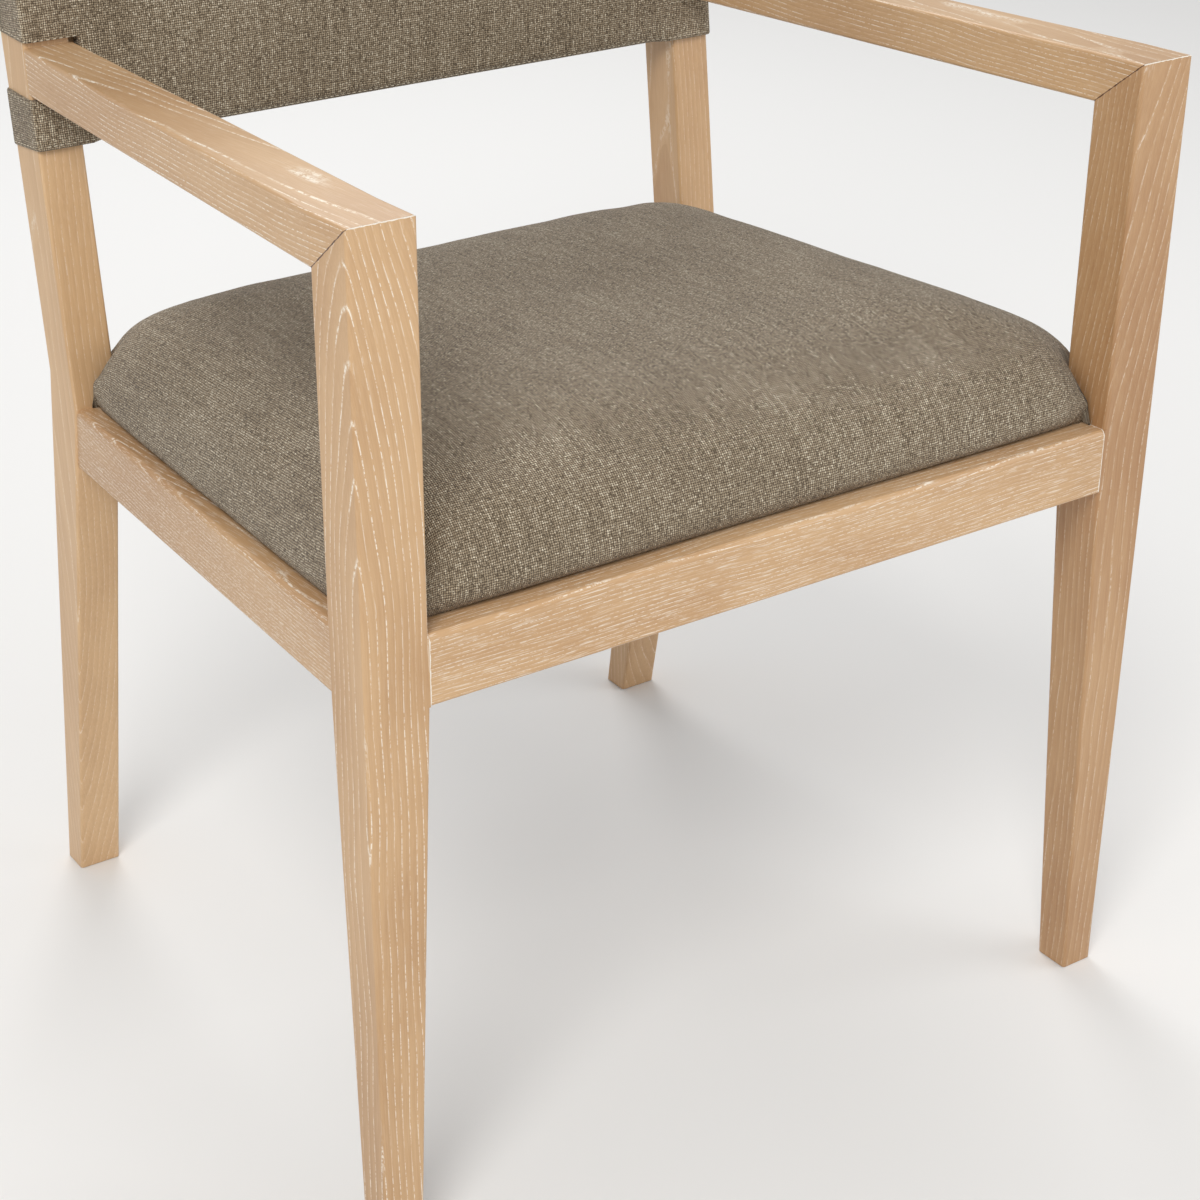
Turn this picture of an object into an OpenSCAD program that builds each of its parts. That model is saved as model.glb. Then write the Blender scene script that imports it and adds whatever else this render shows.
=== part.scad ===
// Wooden armchair: tapered front legs that turn into level-topped arms through a mitre,
// bent rear posts, show-wood seat rails, a crowned upholstered seat and a flat wrapped back.
// Millimetres, +Z up, front of the chair towards -Y, X to the sitter's left and right.

/* [Overall size] */
// Width over the front legs
front_w = 598; // [540:1:720]
// Width over the rear posts
rear_w = 544; // [450:1:660]
// Depth from the front legs' front faces to the backs of the rear feet
frame_depth = 546; // [500:1:660]
// Height of the top of the posts, measured at their front faces
back_top_h = 863; // [780:1:1040]
// Height of the arms' top faces at the front
arm_h = 677; // [620:1:760]
// Height of the front rail's top edge
seat_h = 434; // [380:1:520]
// Distance from the front legs' front faces to the posts' front faces at the seat
post_y = 445; // [400:1:480]
// Slope of the seat, down towards the back, in degrees
seat_tilt = 2.7; // [0:0.1:5]

/* [Front legs] */
// Width of a front leg above the rails
leg_w = 42; // [36:0.5:52]
// Depth of a front leg above the rails
leg_d = 40; // [34:0.5:50]
// Width of a front foot
foot_w = 26; // [20:0.5:36]
// Depth of a front foot
foot_d = 27; // [20:0.5:34]

/* [Rear posts] */
// Width of a rear post
post_w = 32; // [27:0.5:40]
// Depth of a rear post above the seat
post_d = 38; // [32:0.5:46]
// Depth of a rear foot
post_foot_d = 24.5; // [20:0.5:32]
// Lean of the posts above the seat, in degrees
back_lean = 6.9; // [3:0.1:12]
// How much higher the bend is on a post's back face than on its front face
bend_rise = 22; // [8:1:30]

/* [Arms] */
// Thickness of an arm
arm_t = 31; // [26:0.5:40]
// Width of an arm at its rear end
arm_rear_w = 35; // [33:0.5:44]
// Slope of the arms, down towards the back, in degrees
arm_tilt = 2.5; // [0:0.1:5]

/* [Seat rails] */
// Height of the seat rails
rail_h = 45.5; // [40:0.5:60]
// Thickness of the seat rails
rail_t = 26; // [24:0.5:32]
// How far a side rail's face stands in from the front leg's face
side_setback_front = 4.5; // [0:0.5:6]
// How far a side rail's face stands in from the post's face
side_setback_rear = 1; // [0:0.5:4]
// Distance from a post's front face at the seat to the middle of the rear rail
rear_rail_back = 25; // [22:0.5:28]

/* [Seat] */
// Show-wood ledge in front of the cushion
ledge_front = 20; // [16:0.5:24]
// Show-wood ledge at each side of the cushion
ledge_side = 14.5; // [10:0.5:18]
// Distance from the posts' front faces to the cushion's rear edge
seat_past_post = 33; // [26:1:36]
// Height of the cushion's crown over the rails
crown_h = 78; // [60:1:95]
// Height of the cushion at its edges, before it rounds over
shoulder_h = 40; // [30:1:50]
// How far the cushion's front swells out over its base
swell = 8; // [0:0.5:10]
// Thickness of the plywood seat board
board_t = 12; // [9:0.5:15]

/* [Back] */
// Height of the back's lower edge at the posts' front faces
back_bottom_h = 590; // [560:1:640]
// Height of the rails inside the back
back_rail_h = 40; // [34:1:50]
// Thickness of the front panel inside the back
back_board_t = 6; // [4:0.5:9]
// Thickness of the rear panel inside the back
rear_board_t = 3; // [2:0.5:5]
// Thickness of the foam in front of the posts
back_foam_t = 3; // [2:0.5:12]

/* [Upholstery] */
// Thickness of the covering fabric
cover_t = 1.5; // [1:0.1:2.5]
// Thickness of the wadding on the seat
wadding_t = 3; // [2:0.5:6]
// Width of the fabric turned in under the seat board
turn_in = 34; // [30:1:45]
// Thickness of the black dust cloth under the seat
dust_t = 0.6; // [0.4:0.1:1]

/* [Joinery] */
// Dowel diameter
dowel_d = 8; // [6:0.5:9]
// Depth of a front rail's dowel in a leg
dowel_in_leg = 20; // [14:1:22]
// Depth of a seat-rail or arm dowel in a post, along Y
dowel_in_post = 16; // [12:1:18]
// Depth of a dowel in a rail or arm
dowel_in_rail = 25; // [18:1:32]
// Distance from a seat rail's top or bottom edge to its nearer dowel
dowel_inset = 12; // [10:0.5:15]
// Radial clearance of a dowel or screw in its hole
hole_clear = 0.1; // [0.05:0.05:0.2]
// Shank diameter of a screw
screw_d = 4; // [3:0.5:5]
// Height of a corner block
block_h = 26; // [20:1:32]
// Length of a corner block along each rail
block_leg = 52; // [45:1:60]

/* [Edges] */
// Radius on the long edges of the legs, posts and arms
edge_r = 2.2; // [1:0.1:4]
// Radius on the top edges of the seat rails
rail_edge_r = 4; // [2:0.5:6]

/* [Hidden] */

wood = "#d2ad80";
pale_wood = "#dcc39a";
cloth = "#8f8069";
big = 2000;
slab = 0.01;
round_fn = 32;
$fn = 48;

// Derived places, measured from the front legs' front faces and the floor
front_in = front_w / 2 - leg_w;
rear_in = rear_w / 2 - post_w;
seat_drop = tan(seat_tilt);
post_z = seat_h - post_y * seat_drop;
rail_low = seat_h - rail_h;
side_front = front_w / 2 - side_setback_front;
side_rear = rear_w / 2 - side_setback_rear;
side_run = post_y - leg_d;
side_slant = atan((side_front - side_rear) / side_run);
side_yaw = atan((side_front - side_rear) * cos(seat_tilt) / side_run);
side_s0 = leg_d / cos(seat_tilt);
side_len = side_run / cos(seat_tilt) / cos(side_yaw);
rear_rail_y = post_y + rear_rail_back;
back_foot_y = frame_depth - post_foot_d;
post_rake = atan((back_foot_y - post_y) / post_z);
post_len = (back_top_h - post_z) / cos(back_lean);
bend_angle = atan(bend_rise / post_d);
arm_drop = tan(arm_tilt);
arm_reach = post_y + (arm_h - post_z) * tan(back_lean);
mitre_angle = atan((arm_t / cos(arm_tilt) + leg_d * arm_drop) / leg_d);
mitre_len = leg_d / cos(mitre_angle);
seat_back_y = post_y + seat_past_post;
soft_gap = 0.3;
pad_side = cover_t + wadding_t;
board_side = pad_side + soft_gap;
pad_corner = 20;
crown_reach = 0.33 * (seat_back_y - ledge_front);
back_low = (back_bottom_h - post_z) / cos(back_lean);
back_rail_v = 12;
back_rail_t = post_d - rear_board_t - back_rail_v;
fit_gap = 2;
// short of the middle of a post, where the arm's and the side rail's dowels are
dowel_across_post = post_w / 2 - dowel_d / 2 - fit_gap;
head_d = 2 * screw_d;
head_h = screw_d / 2;

// Half-width of a side rail's outer face at depth y
function side_out(y) = side_front - (side_front - side_rear) * (y - leg_d) / side_run;
// Height of the seat plane at depth y
function seat_z(y) = seat_h - y * seat_drop;
// Half-width of an arm's outer face and the arm's width and top at depth y
function arm_share(y) = max(0, (y - leg_d) / (arm_reach - leg_d));
function arm_out(y) = front_w / 2 - (front_w - rear_w) / 2 * arm_share(y);
function arm_wide(y) = leg_w + (arm_rear_w - leg_w) * arm_share(y);
function arm_top(y) = arm_h - y * arm_drop;
// Cushion outline on the seat plane, drawn in by i all round: the corners of one half
function seat_half(i) = [[front_in - fit_gap - i, ledge_front + i],
                         [front_in - fit_gap - i, leg_d + fit_gap + i],
                         [side_out(leg_d + fit_gap) - ledge_side - i, leg_d + fit_gap + i],
                         [side_out(post_y - fit_gap) - ledge_side - i, post_y - fit_gap - i],
                         [rear_in - fit_gap - i, post_y - fit_gap - i],
                         [rear_in - fit_gap - i, seat_back_y - i]];
// A half outline and its mirror image, as one closed outline
function both_halves(half) = concat(half, [for (k = [len(half) - 1:-1:0]) [-half[k][0], half[k][1]]]);

// ---- frames of reference -------------------------------------------------

module place() translate([0, -frame_depth / 2, 0]) children();
module sided(side) mirror([side < 0 ? 1 : 0, 0, 0]) children();
module both_sides() {
    children();
    mirror([1, 0, 0]) children();
}
// Along the seat plane: X across, Y down the slope towards the back, Z square to the seat
module on_seat() translate([0, 0, seat_h]) rotate([-seat_tilt, 0, 0]) children();
// Along the upper posts: X across, Y back from their front faces, Z up from the bend
module on_back() translate([0, post_y, post_z]) rotate([-back_lean, 0, 0]) children();
// Along the right side rail: Y runs to the back, X = 0 is the outer face, Z = 0 the top
module on_side_rail() on_seat() translate([side_front, side_s0, 0]) rotate([0, 0, side_yaw]) children();
module above_seat() on_seat() translate([-big / 2, -big / 2, 0]) cube([big, big, big]);

// ---- shared shapes -------------------------------------------------------

module rounded_rect(w, h, r) {
    translate([r, 0]) square([w - 2 * r, h]);
    translate([0, r]) square([w, h - 2 * r]);
    for (x = [r, w - r], y = [r, h - r]) translate([x, y]) circle(r, $fn = round_fn);
}
// Rail section with softer top edges: width t, height rail_h, top at 0
module rail_section() {
    translate([0, -rail_h]) intersection() {
        rounded_rect(rail_t, rail_h, edge_r);
        translate([0, -rail_h]) rounded_rect(rail_t, 2 * rail_h, rail_edge_r);
    }
}
module plate(w, d) linear_extrude(slab) rounded_rect(w, d, edge_r);
// A dowel along +X from a joint face: part a goes in before it and part b after it
module dowel(a, b, grow = 0) {
    translate([-a - grow, 0, 0]) rotate([0, 90, 0]) cylinder(d = dowel_d + 2 * grow, h = a + b + 2 * grow);
}
// A screw along +Z with its head's flat face at 0
module screw(length, grow = 0) {
    cylinder(d = screw_d + 2 * grow, h = length + grow);
    cylinder(d1 = head_d + 2 * grow, d2 = screw_d + 2 * grow, h = head_h);
}

// ---- joinery, drawn for the right side -----------------------------------

module front_rail_pegs(grow = 0) {
    for (z = [rail_low + dowel_inset, seat_h - dowel_inset])
        translate([front_in, rail_t / 2, z]) dowel(dowel_in_rail, dowel_in_leg, grow);
}
module rear_rail_pegs(grow = 0) {
    for (z = [rear_rail_top() - rail_h + dowel_inset, rear_rail_top() - dowel_inset])
        translate([rear_in, rear_rail_y, z]) dowel(dowel_in_rail, dowel_across_post, grow);
}
module side_rail_pegs(grow = 0) {
    for (z = [-dowel_inset, dowel_inset - rail_h]) on_side_rail() translate([-rail_t / 2, 0, z]) {
        rotate([0, 0, 90]) dowel(dowel_in_post, dowel_in_rail, grow);
        translate([0, side_len - z * tan(post_rake), 0])
            rotate([0, 0, 90]) dowel(dowel_in_rail, dowel_in_post, grow);
    }
}
// Two pegs, one over the other, from the arm's rear end into the post
module arm_pegs(grow = 0) {
    for (side = [-1, 1])
        translate([rear_w / 2 - post_w / 2, arm_reach, arm_top(arm_reach) - arm_t / 2 + side * dowel_d * 0.9])
            rotate([-arm_tilt, 0, 0]) rotate([0, 0, 90]) dowel(dowel_in_rail, dowel_in_post, grow);
}
// Two level pegs across the mitre between the front leg and the arm
module mitre_pegs(grow = 0) {
    z = arm_h - arm_t * 0.62;
    y = (arm_h - z) / tan(mitre_angle);
    for (side = [-1, 1])
        translate([front_w / 2 - leg_w / 2 + side * leg_w / 4, y, z])
            rotate([0, 0, 90]) dowel(dowel_in_post, dowel_in_rail, grow);
}
module back_rail_pegs(grow = 0) {
    for (w = back_rail_places(), end = [dowel_inset - fit_gap, back_rail_h - dowel_inset + fit_gap])
        on_back() translate([rear_in, back_rail_v + back_rail_t / 2, w + end])
            dowel(dowel_in_rail, dowel_across_post, grow);
}
function rear_rail_top() = seat_z(rear_rail_y - rail_t / 2);
function back_rail_places() = [back_low + 2 * fit_gap, post_len - back_rail_h];

// ---- legs, posts and arms ------------------------------------------------

// Everything over and behind the mitre plane, which runs from the top front edge to the inner corner
module over_mitre() {
    translate([-big / 2, 0, arm_h]) rotate([-mitre_angle, 0, 0])
        translate([0, -big / 2, 0]) cube([big, big, big]);
}
module front_leg() {
    difference() {
        union() {
            translate([front_in, 0, rail_low]) linear_extrude(arm_h - rail_low)
                rounded_rect(leg_w, leg_d, edge_r);
            hull() {
                translate([front_in, 0, rail_low]) plate(leg_w, leg_d);
                translate([front_w / 2 - foot_w, 0, 0]) plate(foot_w, foot_d);
            }
            // the easing stops where the front rail meets the leg
            translate([front_in, 0, rail_low]) cube([2 * edge_r, 2 * edge_r, rail_h]);
        }
        over_mitre();
        front_rail_pegs(hole_clear);
        side_rail_pegs(hole_clear);
        mitre_pegs(hole_clear);
    }
}
module rear_post() {
    difference() {
        union() {
            hull() {
                on_back() translate([rear_in, 0, post_len - slab]) plate(post_w, post_d);
                bend_plate(0);
            }
            hull() {
                bend_plate(-slab);
                translate([rear_in, back_foot_y, 0]) plate(post_w, post_foot_d);
            }
        }
        rear_rail_pegs(hole_clear);
        side_rail_pegs(hole_clear);
        arm_pegs(hole_clear);
        back_rail_pegs(hole_clear);
    }
}
// A thin plate on the slanting plane where a post bends
module bend_plate(z) on_back() rotate([bend_angle, 0, 0]) translate([rear_in, 0, z])
    plate(post_w, post_d / cos(bend_angle));
// The arm's upright section at depth y
module arm_plate(y) {
    h = arm_t / cos(arm_tilt);
    translate([arm_out(y) - arm_wide(y), y, arm_top(y) - h]) rotate([90, 0, 0]) plate(arm_wide(y), h);
}
module arm() {
    difference() {
        union() {
            hull() {
                arm_plate(-leg_d);
                arm_plate(leg_d);
            }
            hull() {
                arm_plate(leg_d);
                arm_plate(arm_reach + post_d / 2);
            }
        }
        difference() {
            translate([0, -big / 2, 0]) cube([big, big / 2 + leg_d, big]);
            over_mitre();
        }
        on_back() translate([0, 0, -big / 2]) cube(big);
        arm_pegs(hole_clear);
        mitre_pegs(hole_clear);
    }
}

// ---- seat rails and corner blocks ----------------------------------------

module front_rail_bar() {
    difference() {
        translate([-front_in, 0, seat_h]) rotate([90, 0, 90]) linear_extrude(2 * front_in) rail_section();
        above_seat();
        both_sides() front_rail_pegs(hole_clear);
        both_sides() front_block_screws(hole_clear);
    }
}
module rear_rail_bar() {
    difference() {
        translate([-rear_in, rear_rail_y - rail_t / 2, rear_rail_top()])
            rotate([90, 0, 90]) linear_extrude(2 * rear_in) rail_section();
        above_seat();
        both_sides() rear_rail_pegs(hole_clear);
        both_sides() rear_block_screws(hole_clear);
    }
}
// The space between the leg's back face and the post's front face below the seat
module rail_bay() {
    translate([0, leg_d, 0]) rotate([90, 0, 90]) linear_extrude(front_w) polygon([
        [0, 0], [back_foot_y - leg_d, 0], [side_run, post_z],
        [side_run + big * tan(back_lean) / 4, post_z + big / 4], [0, post_z + big / 4]]);
}
module side_rail() {
    difference() {
        intersection() {
            on_side_rail() translate([-rail_t, side_len + post_d, 0]) rotate([90, 0, 0])
                linear_extrude(side_len + 2 * post_d) rail_section();
            rail_bay();
        }
        side_rail_pegs(hole_clear);
        front_block_screws(hole_clear);
        rear_block_screws(hole_clear);
    }
}
// Block outlines on the seat plane, notched round the leg or post
module front_block_shape() {
    edge = leg_d + fit_gap;
    polygon([[front_in - fit_gap, rail_t - fit_gap], [front_in - fit_gap - block_leg, rail_t - fit_gap],
             [front_in - fit_gap - block_leg, rail_t + fit_gap],
             [side_out(edge + block_leg) - rail_t, edge + block_leg],
             [side_out(edge + block_leg) - rail_t + fit_gap, edge + block_leg],
             [side_out(edge) - rail_t + fit_gap, edge], [front_in - fit_gap, edge]]);
}
module rear_block_shape() {
    edge = post_y - fit_gap;
    low = rear_rail_y - rail_t / 2;
    polygon([[rear_in - fit_gap, low + fit_gap], [rear_in - fit_gap - block_leg, low + fit_gap],
             [rear_in - fit_gap - block_leg, low - fit_gap],
             [side_out(edge - block_leg) - rail_t, edge - block_leg],
             [side_out(edge - block_leg) - rail_t + fit_gap, edge - block_leg],
             [side_out(edge) - rail_t + fit_gap, edge], [rear_in - fit_gap, edge]]);
}
module block_trim() {
    on_side_rail() translate([-rail_t, -big / 2, -big / 2]) cube([big, big, big]);
    translate([-big / 2, rail_t - big, 0]) cube([big, big, big]);
    translate([front_in - fit_gap / 2, 0, 0]) cube([big, leg_d + fit_gap / 2, big]);
    translate([-big / 2, rear_rail_y - rail_t / 2, 0]) cube([big, big, big]);
}
module corner_block_front() {
    difference() {
        on_seat() translate([0, 0, -block_h]) linear_extrude(block_h) front_block_shape();
        block_trim();
        front_block_screws(hole_clear);
        block_seat_screw(front_screw_place(), hole_clear);
    }
}
module corner_block_rear() {
    difference() {
        on_seat() translate([0, 0, -block_h]) linear_extrude(block_h) rear_block_shape();
        block_trim();
        rear_block_screws(hole_clear);
        block_seat_screw(rear_screw_place(), hole_clear);
    }
}
// Screws through a block, one into each rail; the heads sink into the sloping face
block_screw_len = 34;
block_screw_in = 16;
module front_block_screws(grow = 0) {
    on_seat() translate([front_in - block_leg + block_screw_in / 2, rail_t + block_screw_in, -block_h / 2 - screw_d])
        rotate([90, 0, 0]) screw(block_screw_len, grow);
    on_side_rail() translate([-rail_t - block_screw_in, block_leg - block_screw_in / 2, -block_h / 2 + screw_d])
        rotate([0, 90, 0]) screw(block_screw_len, grow);
}
module rear_block_screws(grow = 0) {
    low = rear_rail_y - rail_t / 2;
    on_seat() translate([rear_in - block_leg + block_screw_in / 2, low - block_screw_in, -block_h / 2 - screw_d])
        rotate([-90, 0, 0]) screw(block_screw_len, grow);
    on_side_rail() translate([-rail_t - block_screw_in, side_len - block_leg + block_screw_in / 2,
                              -block_h / 2 + screw_d])
        rotate([0, 90, 0]) screw(block_screw_len, grow);
}
function front_screw_place() = [front_in - 0.35 * block_leg, leg_d + 0.35 * block_leg];
function rear_screw_place() = [rear_in - 0.3 * block_leg, post_y - 0.35 * block_leg];
seat_screw_grip = 9;
module block_seat_screw(spot, grow = 0) {
    on_seat() translate([spot[0], spot[1], -block_h])
        screw(block_h + cover_t + seat_screw_grip, grow);
}
module all_seat_screws(grow = 0) both_sides() {
    block_seat_screw(front_screw_place(), grow);
    block_seat_screw(rear_screw_place(), grow);
}

// ---- seat upholstery -----------------------------------------------------

module seat_outline(i) polygon(both_halves(seat_half(i)));
// One level of the cushion: drawn in by i all round, then let out at the front
module pad_level(i, z, front = 0) {
    corner_in = pad_corner / cos(side_slant);
    y_front = ledge_front + i + pad_corner;
    y_back = seat_back_y - i - pad_corner;
    translate([0, 0, z]) linear_extrude(slab) for (x = [-1, 1]) {
        translate([x * (side_out(y_front) - ledge_side - i - corner_in), y_front - front])
            circle(pad_corner, $fn = round_fn);
        translate([x * (side_out(y_back) - ledge_side - i - corner_in), y_back])
            circle(pad_corner, $fn = round_fn);
    }
}
// The cushion drawn in by i: swelling sides, then an elliptical crown, standing on height low
module seat_pad(i, low) {
    step = 18;
    difference() {
        hull() {
            pad_level(i, low);
            pad_level(i - swell / 4, 0.7 * shoulder_h, swell);
            for (a = [0:step:90])
                pad_level(i + crown_reach * (1 - cos(a)), shoulder_h + (crown_h - i - shoulder_h) * sin(a), swell / 2);
        }
        both_sides() translate([front_in - fit_gap - i, -swell, -big / 2]) cube([big, swell + leg_d + fit_gap + i, big]);
        both_sides() translate([rear_in - fit_gap - i, post_y - fit_gap - i, -big / 2]) cube([big, big, big]);
    }
}
module seat_cover_shell() {
    difference() {
        seat_pad(0, 0);
        seat_pad(cover_t, -1);
    }
    // the edge turned in under the board
    linear_extrude(cover_t) difference() {
        seat_outline(cover_t / 2);
        seat_outline(turn_in);
    }
}
module seat_wadding_shell() {
    difference() {
        seat_pad(cover_t + soft_gap, cover_t + soft_gap);
        seat_pad(pad_side, -1);
    }
}
module seat_foam_core() seat_pad(board_side, cover_t + board_t);
staple_w = 10;
staple_wire = 0.8;
staple_leg = 6;
// One staple, crown down, its legs pointing up into the board
module staple() {
    translate([-staple_w / 2, -staple_wire / 2, -staple_wire]) cube([staple_w, staple_wire, staple_wire]);
    for (x = [-staple_w / 2, staple_w / 2 - staple_wire])
        translate([x, -staple_wire / 2, 0]) cube([staple_wire, staple_wire, staple_leg]);
}
// Staples in rows along the four rails, set in by inset from their inner faces
module staple_rows(inset) {
    pitch = 55;
    front_run = front_in - block_leg - 4 * staple_w;
    side_count = floor((side_run / 2 - block_leg - 2 * staple_w) / pitch);
    mid_y = (post_y + leg_d) / 2;
    for (k = [-floor(front_run / pitch):floor(front_run / pitch)]) {
        translate([k * pitch, rail_t + inset, 0]) staple();
        translate([k * pitch * rear_in / front_in, rear_rail_y - rail_t / 2 - inset, 0]) staple();
    }
    both_sides() for (k = [-side_count:side_count])
        translate([side_out(mid_y + k * pitch) - rail_t - inset, mid_y + k * pitch, 0])
            rotate([0, 0, 90 + side_yaw]) staple();
}
module dust_staple_rows() on_seat() translate([0, 0, -dust_t]) staple_rows(staple_w);
module cover_staple_rows() on_seat() translate([0, 0, staple_wire]) staple_rows(1.7 * staple_w);
// The dust cloth's outline, cut across the corners to clear the corner blocks
module dust_shape() {
    edge = 3;
    reach = block_leg + 2 * edge;
    polygon(both_halves([
        [front_in - fit_gap - reach, rail_t + edge],
        [side_out(leg_d + reach) - rail_t - edge, leg_d + reach],
        [side_out(post_y - reach) - rail_t - edge, post_y - reach],
        [rear_in - fit_gap - reach, rear_rail_y - rail_t / 2 - edge]]));
}

// ---- back ----------------------------------------------------------------

module back_rail(w) {
    difference() {
        on_back() translate([-rear_in, back_rail_v, w]) cube([2 * rear_in, back_rail_t, back_rail_h]);
        both_sides() back_rail_pegs(hole_clear);
        panel_screws(hole_clear);
    }
}
panel_screw_len = 20;
panel_screw_pitch = 110;
module panel_screws(grow = 0) {
    count = floor((rear_in - dowel_inset) / panel_screw_pitch);
    for (w = back_rail_places(), k = [-count:count])
        on_back() translate([k * panel_screw_pitch, back_rail_v - back_board_t, w + back_rail_h / 2])
            rotate([-90, 0, 0]) screw(panel_screw_len, grow);
}
module back_panel(v, t) {
    w = back_rail_places()[0];
    on_back() translate([soft_gap - rear_in, v, w]) cube([2 * (rear_in - soft_gap), t, post_len - w]);
}
// A block on the back's own axes between two depths and two heights, w wide to each side
module back_slab(half, v0, v1, w0, w1) {
    on_back() translate([-half, v0, w0]) cube([2 * half, v1 - v0, w1 - w0]);
}
arm_gap = 2;
// The opening in the cover round the end of an arm, cut right through from front to back
module arm_slot() {
    top = arm_top(arm_reach) + 2 * arm_gap;
    translate([rear_w / 2 - arm_rear_w - arm_gap, 0, top - arm_t - 3 * arm_gap])
        cube([arm_rear_w + 10 * arm_gap, big, arm_t + 3 * arm_gap]);
}

// ---- sub-parts -----------------------------------------------------------

module front_leg_left() color(wood) place() sided(-1) front_leg();
module front_leg_right() color(wood) place() sided(1) front_leg();
module rear_post_left() color(wood) place() sided(-1) rear_post();
module rear_post_right() color(wood) place() sided(1) rear_post();
module arm_left() color(wood) place() sided(-1) arm();
module arm_right() color(wood) place() sided(1) arm();
module front_rail() color(wood) place() front_rail_bar();
module rear_rail() color(wood) place() rear_rail_bar();
module side_rail_left() color(wood) place() sided(-1) side_rail();
module side_rail_right() color(wood) place() sided(1) side_rail();
module corner_block_front_left() color(pale_wood) place() sided(-1) corner_block_front();
module corner_block_front_right() color(pale_wood) place() sided(1) corner_block_front();
module corner_block_rear_left() color(pale_wood) place() sided(-1) corner_block_rear();
module corner_block_rear_right() color(pale_wood) place() sided(1) corner_block_rear();
module corner_block_screws() color("silver") place() both_sides() {
    front_block_screws();
    rear_block_screws();
}
module front_rail_dowels() color(pale_wood) place() both_sides() front_rail_pegs();
module rear_rail_dowels() color(pale_wood) place() both_sides() rear_rail_pegs();
module side_rail_dowels() color(pale_wood) place() both_sides() side_rail_pegs();
module arm_dowels() color(pale_wood) place() both_sides() arm_pegs();
module mitre_dowels() color(pale_wood) place() both_sides() mitre_pegs();
module seat_board() color(pale_wood) place() difference() {
    on_seat() translate([0, 0, cover_t]) linear_extrude(board_t) seat_outline(board_side);
    all_seat_screws(hole_clear);
    dust_staple_rows();
    cover_staple_rows();
}
module seat_foam() color("#e8dfae") place() on_seat() seat_foam_core();
module seat_wadding() color("white") place() on_seat() seat_wadding_shell();
module seat_cover() color(cloth) place() difference() {
    on_seat() seat_cover_shell();
    all_seat_screws(hole_clear);
    dust_staple_rows();
    cover_staple_rows();
}
module seat_cover_staples() color("silver") place() cover_staple_rows();
module seat_screws() color("silver") place() all_seat_screws();
module dust_cloth() color("#2b2b2b") place() difference() {
    on_seat() translate([0, 0, -dust_t]) linear_extrude(dust_t) dust_shape();
    dust_staple_rows();
}
module dust_cloth_staples() color("silver") place() dust_staple_rows();
module back_top_rail() color(pale_wood) place() back_rail(back_rail_places()[1]);
module back_bottom_rail() color(pale_wood) place() back_rail(back_rail_places()[0]);
module back_rail_dowels() color(pale_wood) place() both_sides() back_rail_pegs();
module back_front_panel() color(pale_wood) place() difference() {
    back_panel(back_rail_v - back_board_t, back_board_t);
    panel_screws(hole_clear);
}
module back_rear_panel() color("#8a6b4a") place() back_panel(post_d - rear_board_t, rear_board_t);
module back_panel_screws() color("silver") place() panel_screws();
module back_foam() color("#e8dfae") place() difference() {
    union() {
        back_slab(rear_w / 2, -back_foam_t, -soft_gap, back_low + cover_t, post_len);
        back_slab(rear_in - soft_gap, -back_foam_t, back_rail_v - back_board_t - soft_gap, back_low + cover_t, post_len);
    }
    both_sides() arm_slot();
}
module back_cover() color(cloth) place() difference() {
    back_slab(rear_w / 2 + soft_gap + cover_t, -back_foam_t - soft_gap - cover_t,
              post_d + soft_gap + cover_t, back_low, post_len + soft_gap + cover_t);
    back_slab(rear_w / 2 + soft_gap, -back_foam_t - soft_gap, post_d + soft_gap,
              back_low + cover_t, post_len + soft_gap);
    both_sides() on_back() translate([rear_in - soft_gap, -soft_gap, 0])
        cube([post_w + 2 * soft_gap, post_d + 2 * soft_gap, post_len]);
    both_sides() arm_slot();
}

front_leg_left();
front_leg_right();
rear_post_left();
rear_post_right();
arm_left();
arm_right();
front_rail();
rear_rail();
side_rail_left();
side_rail_right();
corner_block_front_left();
corner_block_front_right();
corner_block_rear_left();
corner_block_rear_right();
corner_block_screws();
front_rail_dowels();
rear_rail_dowels();
side_rail_dowels();
arm_dowels();
mitre_dowels();
seat_board();
seat_foam();
seat_wadding();
seat_cover();
seat_cover_staples();
seat_screws();
dust_cloth();
dust_cloth_staples();
back_top_rail();
back_bottom_rail();
back_rail_dowels();
back_front_panel();
back_rear_panel();
back_panel_screws();
back_foam();
back_cover();
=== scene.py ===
import bpy, bmesh, math
from mathutils import Matrix, Vector, noise
from mathutils.bvhtree import BVHTree


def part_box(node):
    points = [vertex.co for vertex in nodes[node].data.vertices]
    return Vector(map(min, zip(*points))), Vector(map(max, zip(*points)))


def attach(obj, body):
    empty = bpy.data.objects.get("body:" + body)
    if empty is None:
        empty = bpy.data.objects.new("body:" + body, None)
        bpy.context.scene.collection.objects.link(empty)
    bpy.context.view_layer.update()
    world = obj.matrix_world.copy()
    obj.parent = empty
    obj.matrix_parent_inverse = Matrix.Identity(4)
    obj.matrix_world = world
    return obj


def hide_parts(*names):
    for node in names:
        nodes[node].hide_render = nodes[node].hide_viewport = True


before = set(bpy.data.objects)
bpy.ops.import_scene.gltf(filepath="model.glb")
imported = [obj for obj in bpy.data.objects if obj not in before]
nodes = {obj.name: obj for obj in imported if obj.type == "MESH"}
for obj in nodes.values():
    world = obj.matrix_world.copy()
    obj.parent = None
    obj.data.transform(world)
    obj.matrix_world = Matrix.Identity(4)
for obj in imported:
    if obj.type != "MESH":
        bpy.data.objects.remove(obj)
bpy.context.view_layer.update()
print("frame loaded:", len(nodes), "nodes")

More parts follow.
